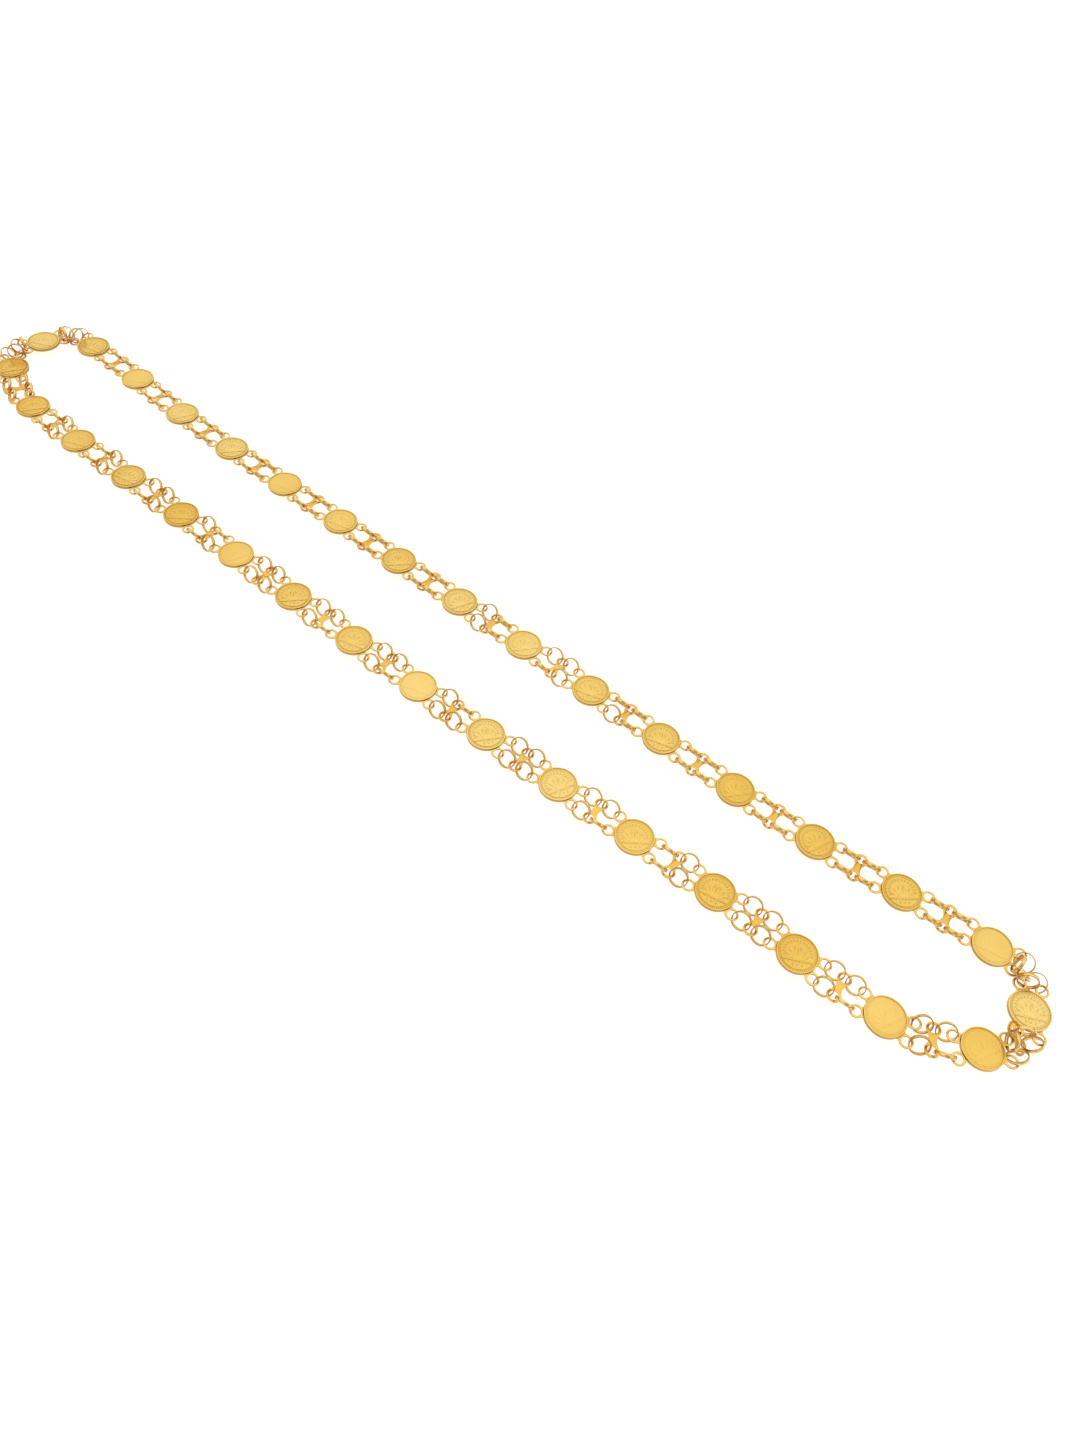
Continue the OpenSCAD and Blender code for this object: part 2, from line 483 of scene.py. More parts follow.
@dataclass(frozen=True)
class GoldFinish:
    """A gold surface with its tone, grain and wear, and with painted shade.

    Attributes:
        name: The material's name.
        bright: The colour of clean metal.
        deep: The colour in the warmer patches.
        painted_shade: The colour of the painted shade, mixed in at corners, on sides, in creases
            and where metal is enclosed.
        roughness: The mean roughness.
        roughness_spread: How far the roughness strays to either side.
        handling_mm: The size of the patches of roughness.
        handling_span: The part of the noise over which the roughness strays.
        grain_mm: The size of the surface's grain.
        grain_depth_mm: The height of that grain.
        scratches: For each way they run, their stretch and their size in millimetres.
        scratch_depth_mm: The depth of the fine scratches.
        patch_mm: The size of the patches of tone.
        patch_span: The part of the noise over which the tone changes.
        hollow_shade_share: How far the painted shade covers a sharp corner.
        hollow_shade_span: From such a corner's pointiness to a flat face's.
        side_shade_share: How far the painted shade covers metal that faces sideways.
        side_shade_span: From such metal's upright part of the normal to flat metal's.
        enclosed_mm: The reach within which other metal encloses the surface.
        enclosed_shade_share: How far the painted shade covers enclosed metal.
        enclosed_shade_span: The open shares of its surroundings at which it is covered and is
            clear.
        crease_mm: The reach within which a struck line or a joint counts as a crease.
        crease_shade_share: How far the painted shade covers a crease.
        crease_shade_span: The open shares at which it is covered and is clear.
    """

    name: str
    bright: Colour = (0.88, 0.61, 0.17)
    deep: Colour = (0.84, 0.55, 0.135)
    # Painted shade: the dark colour mixed in at corners, on sides, in creases and where metal is
    # enclosed.
    painted_shade: Colour = (0.38, 0.17, 0.03)
    roughness: float = 0.28
    roughness_spread: float = 0.06
    handling_mm: float = 1.6
    handling_span: Span = (0.3, 0.7)
    grain_mm: float = 0.12
    grain_depth_mm: float = 0.006
    scratches: tuple[tuple[Place, float], ...] = (((6.0, 0.25, 1.0), 0.35), ((0.3, 5.0, 1.0), 0.4))
    scratch_depth_mm: float = 0.004
    patch_mm: float = 22.0
    patch_span: Span = (0.35, 0.65)
    hollow_shade_share: float = 0.5
    hollow_shade_span: Span = (0.40, 0.49)
    side_shade_share: float = 0.95
    side_shade_span: Span = (0.1, 0.7)
    enclosed_mm: float = 1.6
    enclosed_shade_share: float = 0.7
    enclosed_shade_span: Span = (0.25, 0.80)
    crease_mm: float = 0.4
    crease_shade_share: float = 0.6
    crease_shade_span: Span = (0.60, 0.96)

    def less_shaded(self) -> GoldFinish:
        """Gives the same finish with less painted shade.

        Returns:
            The finish.
        """
        return replace(
            self,
            name=f"rubbed_{self.name}",
            hollow_shade_share=0.2,
            side_shade_share=0.4,
            crease_shade_share=0.25,
            enclosed_shade_share=0.3,
        )

    def material(self) -> bpy.types.Material:
        """Builds the material's nodes.

        Returns:
            The material, which reads object coordinates and the shape's own corners.
        """
        made = bpy.data.materials.new(self.name)
        nodes = Nodes(made)
        place = nodes.millimetres()
        given = {"Metallic": 1.0, "Base Color": self._tone(nodes, place)}
        given |= {"Roughness": self._gloss(nodes, place), "Normal": self._relief(nodes, place)}
        nodes.feed("Principled BSDF", given)
        return made

    def _tone(self, nodes: Nodes, place: Socket) -> Socket:
        """Colours the metal: broad warm patches, with painted shade in corners, on sides, in
        creases and where enclosed.

        Args:
            nodes: The material's nodes.
            place: The coordinates in millimetres.

        Returns:
            The colour.
        """
        patches = nodes.ranged(nodes.noise(place, self.patch_mm, 2.0), self.patch_span, (0.0, 1.0))
        colour = nodes.mixed(patches, self.bright, self.deep)
        corners = nodes.add("ShaderNodeNewGeometry", "Pointiness")
        normal = nodes.add("ShaderNodeTexCoord", "Normal")
        rise = nodes.add("ShaderNodeSeparateXYZ", "Z", {"Vector": normal})
        upright = nodes.add("ShaderNodeMath", "Value", {0: rise}, operation="ABSOLUTE")
        # Painted shade: each mask below darkens the colour towards the shade colour.
        covers = (
            (corners, self.hollow_shade_span, self.hollow_shade_share),
            (upright, self.side_shade_span, self.side_shade_share),
            (nodes.open_share(self.enclosed_mm), self.enclosed_shade_span, self.enclosed_shade_share),
            (nodes.open_share(self.crease_mm), self.crease_shade_span, self.crease_shade_share),
        )
        for value, span, share in covers:
            colour = nodes.mixed(nodes.ranged(value, span, (share, 0.0)), colour, self.painted_shade)
        return colour

    def _gloss(self, nodes: Nodes, place: Socket) -> Socket:
        """Varies the roughness as handling does, over the coordinates in millimetres."""
        ends = (self.roughness - self.roughness_spread, self.roughness + self.roughness_spread)
        return nodes.ranged(nodes.noise(place, self.handling_mm, 4.0), self.handling_span, ends)

    def _relief(self, nodes: Nodes, place: Socket) -> Socket:
        """Adds the grain and, over it, fine scratches that run two ways.

        Args:
            nodes: The material's nodes.
            place: The coordinates in millimetres.

        Returns:
            The normal.
        """
        heights = [(nodes.noise(place, self.grain_mm, 3.0), self.grain_depth_mm)]
        for stretch, size_mm in self.scratches:
            scratched = nodes.noise(nodes.millimetres(stretch), size_mm, 1.0)
            heights.append((scratched, self.scratch_depth_mm))
        given = {"Strength": 1.0}
        for height, depth_mm in heights:
            given |= {"Height": height, "Distance": depth_mm * MM}
            given["Normal"] = nodes.add("ShaderNodeBump", "Normal", given)
        return given["Normal"]


@dataclass(frozen=True)
class FloorFinish:
    """A plain pale floor.

    Attributes:
        name: The material's name.
        colour: Its colour.
        roughness: Its roughness.
        specular: The strength of its gloss.
        glow: Light that comes up through it, as through a light table.
    """

    name: str = "pale_floor"
    colour: Colour = (0.52, 0.52, 0.52)
    roughness: float = 0.6
    specular: float = 0.2
    glow: float = 0.74

    def material(self) -> bpy.types.Material:
        """Builds the floor's material.

        Returns:
            The material.
        """
        made = bpy.data.materials.new(self.name)
        given = {
            "Base Color": self.colour,
            "Roughness": self.roughness,
            "Specular IOR Level": self.specular,
            "Emission Color": WHITE,
            "Emission Strength": self.glow,
        }
        Nodes(made).feed("Principled BSDF", given)
        return made


# Coin gold, with the painted shade in the relief's creases at full strength.
STRUCK_GOLD = GoldFinish(
    "struck_gold", grain_depth_mm=0.004, side_shade_share=0.8, crease_mm=0.45, crease_shade_share=1.0
)
COIN_TONES = {
    Tone.USUAL: STRUCK_GOLD,
    Tone.PALE: replace(
        STRUCK_GOLD, name="pale_struck_gold", bright=(0.90, 0.66, 0.22), deep=(0.87, 0.61, 0.18)
    ),
    Tone.DEEP: replace(
        STRUCK_GOLD, name="deep_struck_gold", bright=(0.86, 0.57, 0.13), deep=(0.81, 0.50, 0.10)
    ),
}
# Darker gold for the coins' reeded edges: painted shade on the coins' sides.
SHADED_REEDED_GOLD = GoldFinish(
    "shaded_reeded_gold",
    bright=(0.55, 0.35, 0.10),
    deep=(0.47, 0.28, 0.07),
    painted_shade=(0.25, 0.10, 0.015),
    side_shade_share=0.3,
)
# The ears, spacers and rings take an orange-brown painted shade, strongest where other metal
# encloses them.
SOLDERED_GOLD = GoldFinish(
    "soldered_gold",
    roughness=0.24,
    roughness_spread=0.05,
    painted_shade=(0.50, 0.20, 0.018),
    enclosed_shade_share=0.85,
    enclosed_shade_span=(0.25, 0.9),
)
PRESSED_GOLD = GoldFinish(
    "pressed_gold",
    bright=(0.86, 0.56, 0.13),
    deep=(0.79, 0.46, 0.085),
    painted_shade=(0.50, 0.20, 0.018),
    roughness=0.25,
    enclosed_shade_share=0.85,
    enclosed_shade_span=(0.25, 0.9),
)
RIBBON_GOLD = GoldFinish(
    "ribbon_gold",
    bright=(0.90, 0.64, 0.22),
    deep=(0.84, 0.54, 0.14),
    painted_shade=(0.60, 0.23, 0.012),
    roughness=0.18,
    roughness_spread=0.04,
    grain_depth_mm=0.003,
    scratch_depth_mm=0.003,
    side_shade_share=0.35,
    enclosed_shade_share=0.95,
    enclosed_shade_span=(0.50, 0.95),
)
# Darker gold for the rings' flat edges: painted shade on the bands' edges.
SHADED_CUT_EDGE = GoldFinish(
    "shaded_cut_edge",
    bright=(0.60, 0.40, 0.11),
    deep=(0.50, 0.30, 0.07),
    painted_shade=(0.44, 0.15, 0.010),
    side_shade_share=0.3,
    roughness=0.22,
    grain_depth_mm=0.004,
    enclosed_shade_share=0.9,
)


def dress_where(piece: Piece, gold: GoldFinish, wanted: Callable[[Vector, Vector], bool]) -> None:
    """Gives some faces of a piece a further finish of their own.

    Args:
        piece: The object, which has its first finish.
        gold: The further finish.
        wanted: Says of a face's centre and normal whether it takes that finish.
    """
    piece.data.materials.append(gold.material())
    with at_faces(piece, wanted):
        piece.active_material_index = len(piece.data.materials) - 1
        bpy.ops.object.material_slot_assign()


# The coins


@dataclass
class Relief:
    """The lotus that is struck on a coin, with its wreath, rays and beads.

    All sizes are in millimetres. The lotus repeats the frame's own. A rise is a height above
    the field as a share of the tallest petal's.

    Attributes:
        height: Height of the tallest petal above the field.
        petal_count: Number of petals.
        petal_step: Degrees from one petal to the next.
        petal_l: Length of the middle petal.
        petal_loss: How much shorter each petal is than the one nearer to the middle.
        petal_drop: How much less its rise is.
        petal_w: Width of a petal.
        vein_w: Width of a petal's vein.
        vein_reach: Where along the petal the vein starts, and its length, as shares.
        vein_over: Rise of the vein over its petal's.
        ray_foot: Distance of a ray's foot from the root of the lotus.
        ray_end_r: Distance from the centre that no ray reaches past.
        ray_l: The longest that a ray is.
        ray_w: Width of a ray.
        ray_rise: Rise of a ray.
        ground_low: Distance of the ground line below the centre.
        ground_size: Length, width and rise of the ground line.
        ground_round: Rounding of its edges.
        dot_r: Radius of the dots under the line.
        dot_step: Distance between the dots, and from the line to them.
        fleck_size: Radius, radius and rise of the flecks between the line and the dots.
        fleck_count: Number of flecks.
        fleck_step: Distance between the flecks.
        fleck_low: Distance of the flecks below the line.
        circle_r: Radius of the fine circle inside the rim.
        circle_w: Width of that circle.
        circle_crest: How far its upper side is widened and raised.
        tick_count: Number of ticks between the circle and the rim.
        tick_r: Distance of their middles from the centre.
        tick_size: Half the length, half the width and the rise of a tick.
        leaf_count: Number of leaf pairs in the wreath.
        leaf_r: Distance of the leaves' feet from the centre.
        leaf_size: Width, length and rise of a leaf.
        leaf_slant: Degrees that a leaf slants to either side.
        wreath_start: Degrees at which the wreath starts.
        wreath_arc: Degrees that it covers.
        rosette_count: Number of petals of the back's rosette.
        rosette_size: Width, length and rise of such a petal.
        root: How deep a shape goes below the field, before it is stretched.
    """

    height: float = 0.14
    petal_count: int = 7
    petal_step: float = 25.0
    petal_l: float = 5.4
    petal_loss: float = 0.6
    petal_drop: float = 0.13
    petal_w: float = 1.5
    vein_w: float = 0.26
    vein_reach: Span = (0.14, 0.72)
    vein_over: float = 1.35
    ray_foot: float = 2.2
    ray_end_r: float = 4.6
    ray_l: float = 2.5
    ray_w: float = 0.3
    ray_rise: float = 0.6
    ground_low: float = 2.2
    ground_size: Place = (8.0, 0.35, 0.8)
    ground_round: float = 0.06
    dot_r: float = 0.35
    dot_step: float = 1.3
    fleck_size: Place = (0.16, 0.16, 0.6)
    fleck_count: int = 6
    fleck_step: float = 0.95
    fleck_low: float = 0.55
    circle_r: float = 4.8
    circle_w: float = 0.18
    circle_crest: Place = (1.004, 1.004, 1.1)
    tick_count: int = 60
    tick_r: float = 5.2
    tick_size: Place = (0.25, 0.12, 0.7)
    leaf_count: int = 15
    leaf_r: float = 3.85
    leaf_size: Place = (0.34, 0.85, 0.7)
    leaf_slant: float = 38.0
    wreath_start: float = -10.0
    wreath_arc: float = 200.0
    rosette_count: int = 8
    rosette_size: Place = (0.9, 2.6, 1.0)
    root: float = 0.3

    def _sized(self, width: float, length: float, rise: float) -> Matrix:
        """Stretches a shape of size one to a width, a length and a rise."""
        return stretched(width, length, rise * self.height)

    def _rooted(self, shape: Piece) -> Piece:
        """Cuts a shape off a little below the field and closes it.

        Args:
            shape: The object to cut.

        Returns:
            The same object.
        """
        with at_points(shape):
            bpy.ops.mesh.bisect(
                plane_co=(0, 0, -self.root), plane_no=(0, 0, 1), clear_inner=True, use_fill=True
            )
        return outward(shape)

    def lens(self) -> Piece:
        """Models a domed leaf shape, one long and one wide, with its foot at the origin.

        Returns:
            The master from which petals, veins, rays and leaves are stretched.
        """
        rings = 8
        bpy.ops.mesh.primitive_uv_sphere_add(
            segments=8, ring_count=rings, radius=0.5, rotation=(math.pi / 2, 0, 0)
        )
        lens = fresh("lens")
        for k in range(1, rings):
            angle = math.pi * k / rings
            pinch = math.sin(angle)
            with at_points(lens, in_row(1, 0.5 * math.cos(angle))):
                bpy.ops.transform.resize(value=(pinch, 1.0, pinch))
        with at_points(lens):
            bpy.ops.transform.resize(value=(1.0, 1.0, 2.0))
            bpy.ops.transform.translate(value=(0.0, 0.5, 0.0))
        return self._rooted(lens)

    def bead(self) -> Piece:
        """Models a domed dot of radius one."""
        bpy.ops.mesh.primitive_uv_sphere_add(segments=6, ring_count=4, radius=1.0)
        return self._rooted(fresh("bead"))

    def bar(self) -> Piece:
        """Models the ground line: a bar with rounded upper edges.

        Returns:
            The bar, in its place below the centre.
        """
        length, width, rise = self.ground_size
        bpy.ops.mesh.primitive_cube_add(
            size=1.0,
            location=(0, -self.ground_low, 0),
            scale=(length, width, 2 * self.height * rise),
        )
        return rounded(fresh("ground_line"), self.ground_round)

    def circle(self) -> Piece:
        """Models the fine circle inside the rim, steeper on its outer side.

        Returns:
            The circle, half sunk in the field.
        """
        bpy.ops.mesh.primitive_torus_add(
            major_radius=self.circle_r,
            minor_radius=self.circle_w / 2,
            major_segments=60,
            minor_segments=6,
        )
        circle = fresh("fine_circle")
        with at_points(circle, lambda place: place.z > ROW_MM):
            bpy.ops.transform.resize(value=self.circle_crest)
        return outward(circle)

    def _ray_length(self, degrees: float) -> float:
        """Gives the length of a ray from its foot until it comes near the fine circle.

        Args:
            degrees: How far the ray leans from the middle petal.

        Returns:
            The length.
        """
        lean = math.radians(degrees)
        across = self.ground_low * math.sin(lean)
        to_end = self.ground_low * math.cos(lean) + math.sqrt(self.ray_end_r**2 - across**2)
        return min(self.ray_l, to_end - self.ray_foot)

    def _lotus(self) -> Iterator[Matrix]:
        """Sets the petals, their veins and the rays between them.

        Yields:
            The placing of each copy of the lens.
        """
        foot = moved(0, -self.ground_low)
        half = (self.petal_count - 1) / 2
        start, share = self.vein_reach
        for k in range(self.petal_count):
            from_middle = abs(k - half)
            turn = foot @ turned((k - half) * self.petal_step)
            length = self.petal_l - from_middle * self.petal_loss
            rise = 1.0 - self.petal_drop * from_middle
            yield turn @ self._sized(self.petal_w, length, rise)
            vein = self._sized(self.vein_w, share * length, self.vein_over * rise)
            yield turn @ (moved(0, start * length) @ vein)
        for k in range(self.petal_count + 1):
            lean = (k - half - 0.5) * self.petal_step
            ray = self._sized(self.ray_w, self._ray_length(lean), self.ray_rise)
            yield foot @ turned(lean) @ (moved(0, self.ray_foot) @ ray)

    def _wreath(self) -> Iterator[Matrix]:
        """Sets an arc of slanting leaf pairs inside the fine circle.

        Yields:
            The placing of each copy of the lens.
        """
        for k in range(self.leaf_count):
            angle = self.wreath_start + self.wreath_arc * k / (self.leaf_count - 1)
            foot = turned(angle) @ moved(self.leaf_r, 0)
            for slant in (-self.leaf_slant, self.leaf_slant):
                yield foot @ turned(slant) @ self._sized(*self.leaf_size)

    def _dots(self) -> Iterator[Matrix]:
        """Sets the ticks inside the rim, and the dots and flecks under the ground line.

        Yields:
            The placing of each copy of the bead.
        """
        for k in range(self.tick_count):
            turn = turned(360.0 * k / self.tick_count)
            yield turn @ moved(self.tick_r, 0) @ self._sized(*self.tick_size)
        for k in (-1, 0, 1):
            place = moved(k * self.dot_step, -self.ground_low - self.dot_step)
            yield place @ self._sized(self.dot_r, self.dot_r, 1.0)
        for k in range(self.fleck_count):
            across = (k - (self.fleck_count - 1) / 2) * self.fleck_step
            yield moved(across, -self.ground_low - self.fleck_low) @ self._sized(*self.fleck_size)

    def _rosette(self) -> Iterator[Matrix]:
        """Sets the petals of the back's rosette, as placings of the lens."""
        for k in range(self.rosette_count):
            yield turned(360.0 / self.rosette_count * k) @ self._sized(*self.rosette_size)

    def build(self, face: Face) -> Piece:
        """Models the relief of one face, standing on the plane z = 0.

        Args:
            face: Which face it is. The back has a rosette in place of the lotus and its line.

        Returns:
            The relief.
        """
        lens, bead = self.lens(), self.bead()
        parts = [copy_of(lens, place) for place in self._wreath()]
        parts += [copy_of(bead, place) for place in self._dots()]
        parts.append(self.circle())
        if face is Face.FRONT:
            parts += [copy_of(lens, place) for place in self._lotus()] + [self.bar()]
        else:
            parts += [copy_of(lens, place) for place in self._rosette()]
        relief = joined(f"relief_{face.name.lower()}", parts)
        discard(lens, bead)
        return smooth(relief, 60.0)


@dataclass
class Coins:
    """The struck coins, each with four ears soldered to its edge.

    All sizes are in millimetres, and the main ones repeat the frame's.

    Attributes:
        coin_d: Diameter.
        coin_t: Thickness at the rim.
        field_depth: Depth of the field below the rim.
        rim_w: Width of the flat rim.
        slope_w: Width of the slope from the rim to the field.
        edge_chamfer: Size of the rim's outer chamfer.
        reed_count: Number of grooves round the edge.
        reed_depth: Depth of a groove.
        ear_along: Distance of an ear from the centre along the chain.
        ear_side: Distance of an ear from the chain's middle line.
        ear_r: Outer radius of an ear.
        ear_hole_r: Radius of its hole.
        ear_t: Thickness of an ear.
        ear_round: Rounding of its edges.
        web_fillet: Radius of the hollow curve where the solder joins an ear to the coin.
        web_t: Thickness of that solder.
        web_round: Rounding of its edges.
        web_root: How deep it reaches into the coin.
        motif_turn: Mean turn of the lotus, its spread and its step by coin, in degrees.
        struck_depth: Mean depth of the strike, its spread and its step by coin, in radians.
        worn_depth: Depth that is left where the relief is nearly gone.
        worn_smooth: Numbers of the coins of which that is so.
        pale: Numbers of the coins of paler gold.
        deep: Numbers of the coins of deeper gold.
        relief: The design on the faces.
    """

    coin_d: float = 12.0
    coin_t: float = 1.0
    field_depth: float = 0.18
    rim_w: float = 0.42
    slope_w: float = 0.10
    edge_chamfer: float = 0.07
    reed_count: int = 64
    reed_depth: float = 0.07
    ear_along: float = 7.2
    ear_side: float = 3.1
    ear_r: float = 2.0
    ear_hole_r: float = 1.34
    ear_t: float = 0.4
    ear_round: float = 0.12
    web_fillet: float = 0.6
    web_t: float = 0.37
    web_round: float = 0.06
    web_root: float = 0.5
    motif_turn: Place = (39.0, 28.0, 77.0)
    struck_depth: Place = (1.05, 0.2, 2.1)
    worn_depth: float = 0.3
    worn_smooth: tuple[int, ...] = (8, 10, 11, 17, 20, 28, 31)
    pale: tuple[int, ...] = (1, 2, 9, 15, 16, 17, 26, 29, 30)
    deep: tuple[int, ...] = (5, 6, 7, 10, 12, 13, 21, 24, 25)
    relief: Relief = field(default_factory=Relief)

    def blank(self) -> Piece:
        """Models the coin without its relief: reeded edge, raised rims and sunk fields.

        Returns:
            The blank.
        """
        radius = self.coin_d / 2
        narrow = radius - self.edge_chamfer
        bpy.ops.mesh.primitive_circle_add(
            vertices=2 * self.reed_count,
            radius=narrow,
            fill_type="NGON",
            location=(0, 0, -self.coin_t / 2),
        )
        blank = fresh("blank")
        steps = (
            (self.edge_chamfer, radius / narrow),
            (self.coin_t - 2 * self.edge_chamfer, 1.0),
            (self.edge_chamfer, narrow / radius),
        )
        with at_faces(blank):
            for rise, widen in steps:
                bpy.ops.mesh.extrude_region_move(TRANSFORM_OT_translate={"value": (0, 0, rise)})
                bpy.ops.transform.resize(value=(widen, widen, 1.0))
        self._cut_reeds(blank)
        for face in Face:
            self._sink_field(blank, face)
        return smooth(outward(blank), 25.0)

    def _cut_reeds(self, blank: Piece) -> None:
        """Draws every other upright edge inward, which leaves the grooves.

        Args:
            blank: The coin before its fields are sunk.
        """
        radius = self.coin_d / 2
        step = math.pi / self.reed_count

        def in_groove(place: Vector) -> bool:
            """Wants every other point of the widest rings."""
            index = round(math.atan2(place.y, place.x) / step)
            return index % 2 == 1 and place.xy.length > radius - self.edge_chamfer / 2

        inward = (radius - self.reed_depth) / radius
        with at_points(blank, in_groove):
            bpy.ops.transform.resize(value=(inward, inward, 1.0))

    def _sink_field(self, blank: Piece, face: Face) -> None:
        """Insets the rim on one face and sinks the field within it.

        Args:
            blank: The coin.
            face: The face to work on.
        """
        level = face.value * self.coin_t / 2
        with at_faces(blank, lambda centre, _: centre.length < 1.0 and centre.z * level > 0):
            bpy.ops.mesh.inset(thickness=self.rim_w - self.edge_chamfer)
            bpy.ops.mesh.inset(thickness=self.slope_w)
            bpy.ops.transform.translate(value=(0, 0, -face.value * self.field_depth))

    def ear(self) -> Piece:
        """Models one ear round the origin: a flat ring with softened edges.

        Returns:
            The master ear.
        """
        bpy.ops.mesh.primitive_circle_add(vertices=32, radius=self.ear_r, fill_type="NOTHING")
        ear = fresh("ear")
        inward = self.ear_hole_r / self.ear_r
        with at_points(ear):
            bpy.ops.mesh.extrude_region_move()
            bpy.ops.transform.resize(value=(inward, inward, 1.0))
        return smooth(outward(rounded(thickened(ear, self.ear_t), self.ear_round)), 50.0)

    def web(self) -> Piece:
        """Models the solder that joins an ear to the coin, whose two sides are hollow curves.

        Returns:
            The master web, for an ear that lies along +X from the coin's centre.
        """
        coin_r, away = self.coin_d / 2, math.hypot(self.ear_along, self.ear_side)
        to_coin, to_ear = coin_r + self.web_fillet, self.ear_r + self.web_fillet
        centre_x = (away**2 + to_coin**2 - to_ear**2) / (2 * away)
        centre_y = math.sqrt(to_coin**2 - centre_x**2)
        first = centre_x * coin_r / to_coin
        last = away + (centre_x - away) * self.ear_r / to_ear

        def half_width(x: float) -> float:
            """Half the web's width where it is x from the coin's centre."""
            return centre_y - math.sqrt(max(0.0, self.web_fillet**2 - (x - centre_x) ** 2))

        rows = 8
        bpy.ops.mesh.primitive_grid_add(x_subdivisions=rows, y_subdivisions=4, size=1.0)
        web = fresh("web")
        with at_points(web):
            bpy.ops.transform.resize(value=(last - first, 2.0, 1.0))
            bpy.ops.transform.translate(value=((first + last) / 2, 0, 0))
        for k in range(rows + 1):
            row_x = first + (last - first) * k / rows
            with at_points(web, in_row(0, row_x)):
                bpy.ops.transform.resize(value=(1.0, half_width(row_x), 1.0))
        middle_r = (self.ear_r + self.ear_hole_r) / 2
        for share in (0.0, 0.5):
            end = away - math.sqrt(middle_r**2 - (share * half_width(last)) ** 2)
            longer = (end - first) / (last - first)
            with at_points(web, on_lines(0, share, half_width)):
                bpy.ops.transform.resize(value=(longer, 1.0, 1.0), center_override=(first, 0, 0))
        with at_points(web, in_row(0, first)):
            root = {"value": (-self.web_root, 0, 0)}
            bpy.ops.mesh.extrude_region_move(TRANSFORM_OT_translate=root)
        return smooth(outward(rounded(thickened(web, self.web_t), self.web_round)), 50.0)

    def _soldered_ears(self) -> Piece:
        """Sets the four ears and their webs round a coin's edge.

        Returns:
            The ears as one piece, in place round the origin.
        """
        ear, web = self.ear(), self.web()
        away = math.hypot(self.ear_along, self.ear_side)
        lean = math.degrees(math.atan2(self.ear_side, self.ear_along))
        parts = []
        for angle in (lean, -lean, 180.0 - lean, 180.0 + lean):
            parts.append(copy_of(ear, turned(angle) @ moved(away, 0)))
            parts.append(copy_of(web, turned(angle)))
        ears = joined("soldered_ears", parts)
        discard(ear, web)
        ears.data.materials.append(SOLDERED_GOLD.material())
        return ears

    def build(self) -> list[Piece]:
        """Models the masters once and sets a whole coin over each coin of the frame.

        Returns:
            The coins.
        """
        masters = [self.blank(), self._soldered_ears(), *map(self.relief.build, Face)]
        blank, _, *reliefs = masters
        struck = {tone: gold.material() for tone, gold in COIN_TONES.items()}
        # The blank takes its tone's gold with less painted shade.
        rims = {tone: gold.less_shaded().material() for tone, gold in COIN_TONES.items()}
        for master in (blank, *reliefs):
            master.data.materials.append(struck[Tone.USUAL])
        inner = self.coin_d / 2 - 2 * self.reed_depth
        # The reeded edge takes a darker gold: painted shade on the coin's side.
        dress_where(
            blank,
            SHADED_REEDED_GOLD,
            lambda place, normal: abs(normal.z) < 0.5 and place.xy.length > inner,
        )
        coins = []
        for name in sorted(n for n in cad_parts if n.startswith("coin_")):
            number = int(name.split("_")[1])
            parts = [copy_of(*pair) for pair in zip(masters, self._placings(name, number))]
            tone = self._tone(number)
            parts[0].data.materials[0] = rims[tone]
            for relief in parts[2:]:
                relief.data.materials[0] = struck[tone]
            coin = joined(f"struck_{name}", parts)
            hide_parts(name)
            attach(coin, ROOT)
            coins.append(coin)
        discard(*masters)
        return coins

    def _tone(self, number: int) -> Tone:
        """Gives the tone of a coin's gold.

        Args:
            number: The coin's number.

        Returns:
            The tone.
        """
        if number in self.pale:
            return Tone.PALE
        return Tone.DEEP if number in self.deep else Tone.USUAL

    def _placings(self, name: str, number: int) -> tuple[Matrix, ...]:
        """Places the parts of one coin over its node.

        Args:
            name: The node's name.
            number: The coin's number.

        Returns:
            The placings of the blank, the ears and the front's and the back's relief.
        """
        centre, heading = self._seat(name)
        here, scale = Matrix.Translation(centre), Matrix.Scale(MM, 4)
        mean, spread, step = self.motif_turn
        motif = here @ scale @ turned(mean + spread * math.sin(math.radians(step * number)))
        mean, spread, step = self.struck_depth
        struck = mean + spread * math.sin(step * number)
        depth = stretched(1, 1, self.worn_depth if number in self.worn_smooth else struck)
        floor = moved(0, 0, self.coin_t / 2 - self.field_depth)
        over = Matrix.Rotation(math.pi, 4, "X")
        ears = here @ turned(heading) @ scale
        return motif, ears, motif @ floor @ depth, motif @ over @ floor @ depth

    def _seat(self, name: str) -> tuple[Vector, float]:
        """Measures a coin's middle and heading from its node.

        Args:
            name: The node's name.

        Returns:
            The middle in metres, and the chain's direction there in degrees.
        """
        low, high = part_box(name)
        centre = (low + high) / 2
        points = points_of(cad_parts[name]) - np.array(centre)
        reach = np.hypot(points[:, 0], points[:, 1])
        tips = points[reach > (self.coin_d / 2 + self.web_fillet) * MM]
        _, _, axes = np.linalg.svd(tips[:, :2], full_matrices=False)
        return centre, math.degrees(math.atan2(axes[0][1], axes[0][0]))


# The spacers


